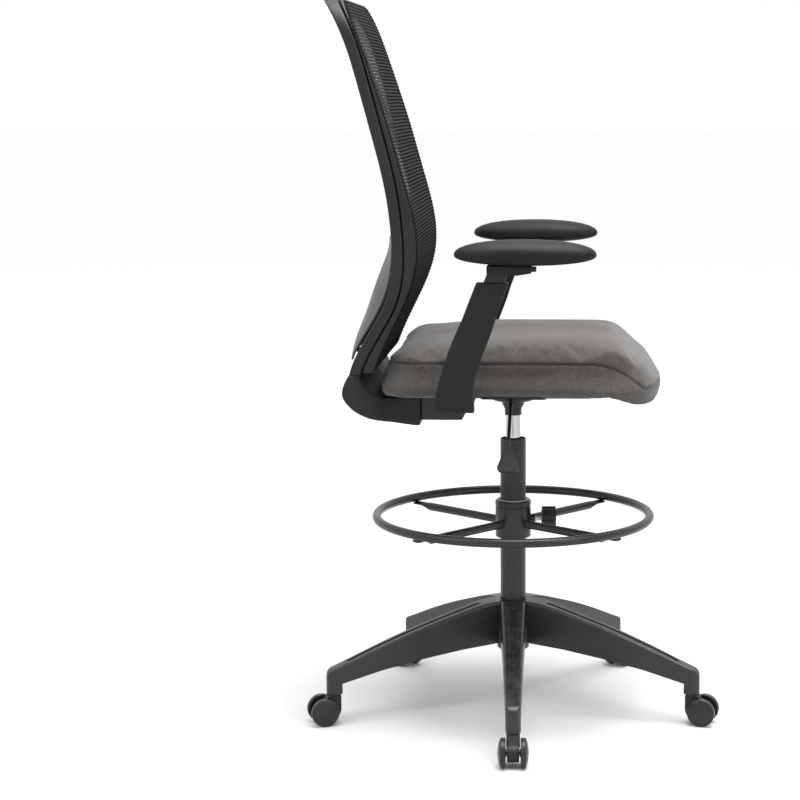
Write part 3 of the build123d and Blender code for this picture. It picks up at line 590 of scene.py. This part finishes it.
cushion = {
    "voxel": 0.006,
    "smoothing": 24,
    "shrink": 0.005,
    "pressure": 4.0,
    "frames": 20,
    "cap": 0.012,
    "crispSmoothing": 3,
    "crispBelow": 0.655,  # under this height the edge by the board stays crisp
    "held": 0.664,  # under this height the foam lies on its board
    "blend": 0.02,  # height over which one treatment gives way to the next
    "seamHeight": 0.711,
    "seamFrom": 0.150,  # ahead of this the seam curves down to the front edge
    "seamCurve": 5.0,
    "seamLow": 0.662,
    # place from front to back, half width, how far the crown is lowered there
    "lowered": ((-0.234, 0.034, 0.015), (0.172, 0.075, 0.009)),
    "groove": 0.0022,
    "grooveWidth": 0.0032,
    # width and strength of the painted shade along the seam's crease
    "seamWidth": 0.0018,
    "seamPaintedShade": 0.85,
    "flatNormal": 0.93,  # faces flatter than this have no seam
    "stitch": 0.0042,
    "stitchGap": 0.0022,
    "stitchRadius": 0.00055,
    "rowOffset": 0.0046,
    "rays": 420,
    "rayStart": 0.6,
}


def smoothStep(t):
    t = min(max(t, 0.0), 1.0)
    return t * t * (3 - 2 * t)


def seamHeight(y):
    ahead = max(0.0, -y - cushion["seamFrom"])
    return max(cushion["seamHeight"] - cushion["seamCurve"] * ahead ** 2, cushion["seamLow"])


def shapeCrown(mesh, soft):
    # the crown slopes off ahead of the back rest and over the front edge
    for vertex in mesh.vertices:
        above = smoothStep((vertex.co.z - seamHeight(vertex.co.y)) / soft["blend"])
        for middle, reach, depth in soft["lowered"]:
            vertex.co.z -= above * depth * math.exp(-((vertex.co.y - middle) / reach) ** 2)


def inflate(mesh, soft):
    # a slightly shrunken copy swells under cloth pressure; how far each point may move is capped
    loose = loosePiece(mesh)
    rest = np.array([v.co for v in mesh.vertices])
    normals = np.array([v.normal for v in mesh.vertices])
    start = rest - normals * soft["shrink"]
    mesh.vertices.foreach_set("co", start.ravel())
    cloth = loose.modifiers.new("cloth", "CLOTH")
    cloth.settings.quality = 4
    cloth.settings.use_pressure = True
    cloth.settings.uniform_pressure_force = soft["pressure"]
    cloth.settings.effector_weights.gravity = 0
    cloth.point_cache.frame_end = soft["frames"]
    for step in range(1, soft["frames"] + 1):
        scene.frame_set(step)
    swollen = applied(loose)
    moved = np.array([v.co for v in swollen.vertices]) - start
    far = np.linalg.norm(moved, axis=1, keepdims=True)
    moved *= np.minimum(1.0, soft["cap"] / np.maximum(far, 1e-9))
    free = np.clip((rest[:, 2:3] - soft["held"]) / soft["blend"], 0, 1)
    final = (start + moved) * free + rest * (1 - free)
    swollen.vertices.foreach_set("co", final.ravel())
    scene.frame_set(1)
    bpy.data.objects.remove(loose)
    return swollen


def subdivided(mesh):
    loose = loosePiece(mesh)
    loose.modifiers.new("finer", "SUBSURF").levels = 1
    finer = applied(loose)
    bpy.data.objects.remove(loose)
    return finer


def sewGroove(mesh, soft):
    # points near the seam sink in, so the top panel and the band below it both bulge
    # the seam attribute is painted shade: how far the cloth is darkened along the seam's crease
    dark = mesh.attributes.new("seam", "FLOAT", "POINT").data
    for vertex in mesh.vertices:
        away = vertex.co.z - seamHeight(vertex.co.y)
        if abs(away) > 4 * soft["grooveWidth"] or abs(vertex.normal.z) > soft["flatNormal"]:
            continue
        sink = soft["groove"] * math.exp(-(away / soft["grooveWidth"]) ** 2)
        dark[vertex.index].value = soft["seamPaintedShade"] * math.exp(-(away / soft["seamWidth"]) ** 2)
        vertex.co -= vertex.normal * sink
    mesh.update()


def seamPath(tree, lift, soft):
    # points round the cushion's side at the seam's height, found by casting rays inwards
    found = []
    for k in range(soft["rays"]):
        turn = 2 * math.pi * k / soft["rays"]
        out = Vector((math.cos(turn), math.sin(turn), 0))
        place = out * soft["rayStart"]
        height = soft["seamHeight"]
        for _ in range(4):  # the seam's height follows from where the ray lands
            hit, normal, _, _ = tree.ray_cast(Vector((place.x, place.y, height + lift)), -out)
            if hit is None:
                break
            height = seamHeight(hit.y)
        if hit is not None:
            found.append((hit, normal))
    return found


def stitchRow(path, soft):
    # one row of separate stitches, each a short six-sided bar with rounded ends
    points, faces = [], []
    spots = [p + n * soft["stitchRadius"] * 0.35 for p, n in path]
    lengths = [0.0]
    for a, b in zip(spots, spots[1:] + spots[:1]):
        lengths.append(lengths[-1] + (b - a).length)
    pitch = soft["stitch"] + soft["stitchGap"]
    count = int(lengths[-1] / pitch)

    def at(s):
        s = s % lengths[-1]
        k = max(0, int(np.searchsorted(lengths, s, side="right")) - 1)
        k = min(k, len(spots) - 1)
        span = max(lengths[k + 1] - lengths[k], 1e-9)
        return spots[k].lerp(spots[(k + 1) % len(spots)], (s - lengths[k]) / span)

    for k in range(count):
        begin = k * lengths[-1] / count
        a, b = at(begin), at(begin + soft["stitch"])
        along = (b - a).normalized()
        side = along.cross(Vector((0, 0, 1))).normalized()
        up = side.cross(along)
        base = len(points)
        for share, width in ((0, 0.35), (0.2, 1), (0.8, 1), (1, 0.35)):
            for corner in range(6):
                turn = corner * math.pi / 3
                rim = side * math.cos(turn) + up * math.sin(turn)
                points.append(a.lerp(b, share) + rim * soft["stitchRadius"] * width)
        for ring in range(3):
            for corner in range(6):
                p = base + ring * 6 + corner
                q = base + ring * 6 + (corner + 1) % 6
                faces.append((p, q, q + 6, p + 6))
        faces.append(tuple(base + c for c in reversed(range(6))))
        faces.append(tuple(base + 18 + c for c in range(6)))
    return points, faces


def makeCushion():
    mesh = remeshedCopy("seat_cushion", cushion["voxel"], cushion["smoothing"])
    crisp = remeshedCopy("seat_cushion", cushion["voxel"], cushion["crispSmoothing"])
    for vertex, sharp in zip(mesh.vertices, crisp.vertices):
        smoothed = smoothStep((sharp.co.z - cushion["crispBelow"]) / cushion["blend"])
        vertex.co = sharp.co.lerp(vertex.co, smoothed)
    shapeCrown(mesh, cushion)
    mesh.update()
    mesh = inflate(mesh, cushion)
    mesh = subdivided(mesh)
    sewGroove(mesh, cushion)
    piece = addPiece("seat_cushion_cover", mesh, "seat_cushion")
    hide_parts("seat_cushion")
    tree = rayTree(mesh)
    points, faces = [], []
    for lift in (cushion["rowOffset"], -cushion["rowOffset"]):
        rowPoints, rowFaces = stitchRow(seamPath(tree, lift, cushion), cushion)
        faces += [tuple(i + len(points) for i in face) for face in rowFaces]
        points += rowPoints
    addPiece("seat_stitching", meshOf(points, faces, "seat_stitching"), "seat_cushion", "seat_thread")
    print("cushion swollen, seamed and stitched:", len(mesh.vertices), "points")


makeCushion()


# ---- ribbed mesh of the back

ribbed = {
    "pitch": 0.0063,
    "depth": 0.0006,
    "perRib": 6,
    "across": 80,
    "edgeDip": 0.004,  # how far the ribs turn down at the two sides
    "corner": 0.063,
    "hem": 0.034,  # width of the plain strip down each side
    "hemBlend": 0.004,
    "thick": 0.0009,
    "margin": 0.0002,  # kept inside the CAD sheet's edges and front
}


def makeBackMesh():
    low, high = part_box("back_mesh")
    cad = cadNodes["back_mesh"].data
    tree = rayTree(cad)
    rows = int((high.z - low.z) / ribbed["pitch"] * ribbed["perRib"])
    half = high.x
    points, valley, hem = [], [], []
    step = (high.z - low.z - 2 * ribbed["margin"]) / rows
    for row in range(rows + 1):
        height = low.z + ribbed["margin"] + step * row
        over = max(0.0, height - (high.z - ribbed["corner"]))
        reach = half - ribbed["corner"] + math.sqrt(max(ribbed["corner"] ** 2 - over ** 2, 0))
        hit = tree.ray_cast(Vector((0, -1, height)), Vector((0, 1, 0)))[0]
        for column in range(ribbed["across"] + 1):
            share = 2 * column / ribbed["across"] - 1
            phase = height + ribbed["edgeDip"] * abs(share) ** 6
            wave = math.cos(2 * math.pi * phase / ribbed["pitch"])
            sunk = hit.y + ribbed["depth"] * (1 - wave) + ribbed["margin"]
            points.append((share * reach, sunk, height))
            valley.append(0.5 - 0.5 * wave)
            hem.append(smoothStep(((abs(share) - 1) * reach + ribbed["hem"]) / ribbed["hemBlend"]))
    width = ribbed["across"] + 1
    faces = [(r * width + c, r * width + c + 1, (r + 1) * width + c + 1, (r + 1) * width + c)
             for r in range(rows) for c in range(ribbed["across"])]
    mesh = meshOf(points, faces, "back_mesh_knit")
    # valley says how deep in a rib's valley a point lies; the material paints shade there and opens the
    # holes there
    mesh.attributes.new("valley", "FLOAT", "POINT").data.foreach_set("value", valley)
    mesh.attributes.new("hem", "FLOAT", "POINT").data.foreach_set("value", hem)
    loose = loosePiece(mesh)
    solid = loose.modifiers.new("solid", "SOLIDIFY")
    solid.thickness = ribbed["thick"]
    solid.offset = -1
    knit = applied(loose)
    bpy.data.objects.remove(loose)
    piece = addPiece("back_mesh_knit", knit, "back_mesh")
    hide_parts("back_mesh")


makeBackMesh()


# ---- arm pads

padShape = {
    "around": 40,
    "along": 48,
    "edge": 0.40,  # height of the widest line, as a share of the pad's thickness
    "crown": 2.3,
    "belly": 3.4,
    "outlinePower": 2.6,
    "outlineFullness": 0.46,
    "topPower": 2.2,
    "topFullness": 0.45,
    "bellyFullness": 0.42,
}


def makePad(side):
    node = f"arm_{side}_pad"
    low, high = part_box(node)
    middle = (low + high) / 2
    halfX = (high.x - low.x) / 2
    halfY = (high.y - low.y) / 2
    edge = low.z + (high.z - low.z) * padShape["edge"]
    points, faces = [], []
    for ring in range(1, padShape["along"]):
        share = -math.cos(math.pi * ring / padShape["along"])
        slim = max(1 - abs(share) ** padShape["outlinePower"], 0) ** padShape["outlineFullness"]
        rise = (high.z - edge) * max(1 - abs(share) ** padShape["topPower"], 0) ** padShape["topFullness"]
        fall = (edge - low.z) * max(1 - share ** 2, 0) ** padShape["bellyFullness"]
        for k in range(padShape["around"]):
            turn = 2 * math.pi * k / padShape["around"]
            c, s = math.cos(turn), math.sin(turn)
            power = padShape["crown"] if s >= 0 else padShape["belly"]
            x = math.copysign(abs(c) ** (2 / power), c) * halfX * slim
            z = math.copysign(abs(s) ** (2 / power), s) * (rise if s >= 0 else fall)
            points.append((middle.x + x, middle.y + share * halfY, edge + z))
    count = padShape["around"]
    for ring in range(padShape["along"] - 2):
        for k in range(count):
            p = ring * count + k
            q = ring * count + (k + 1) % count
            faces.append((p, q, q + count, p + count))
    tail = len(points)
    points.append((middle.x, low.y, edge))
    nose = len(points)
    points.append((middle.x, high.y, edge))
    last = (padShape["along"] - 2) * count
    for k in range(count):
        faces.append((tail, (k + 1) % count, k))
        faces.append((nose, last + k, last + (k + 1) % count))
    mesh = subdivided(meshOf(points, faces, node))
    piece = addPiece(node + "_skin", mesh, node)
    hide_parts(node)


for armSide in ("right", "left"):
    makePad(armSide)
print("arm pads made")
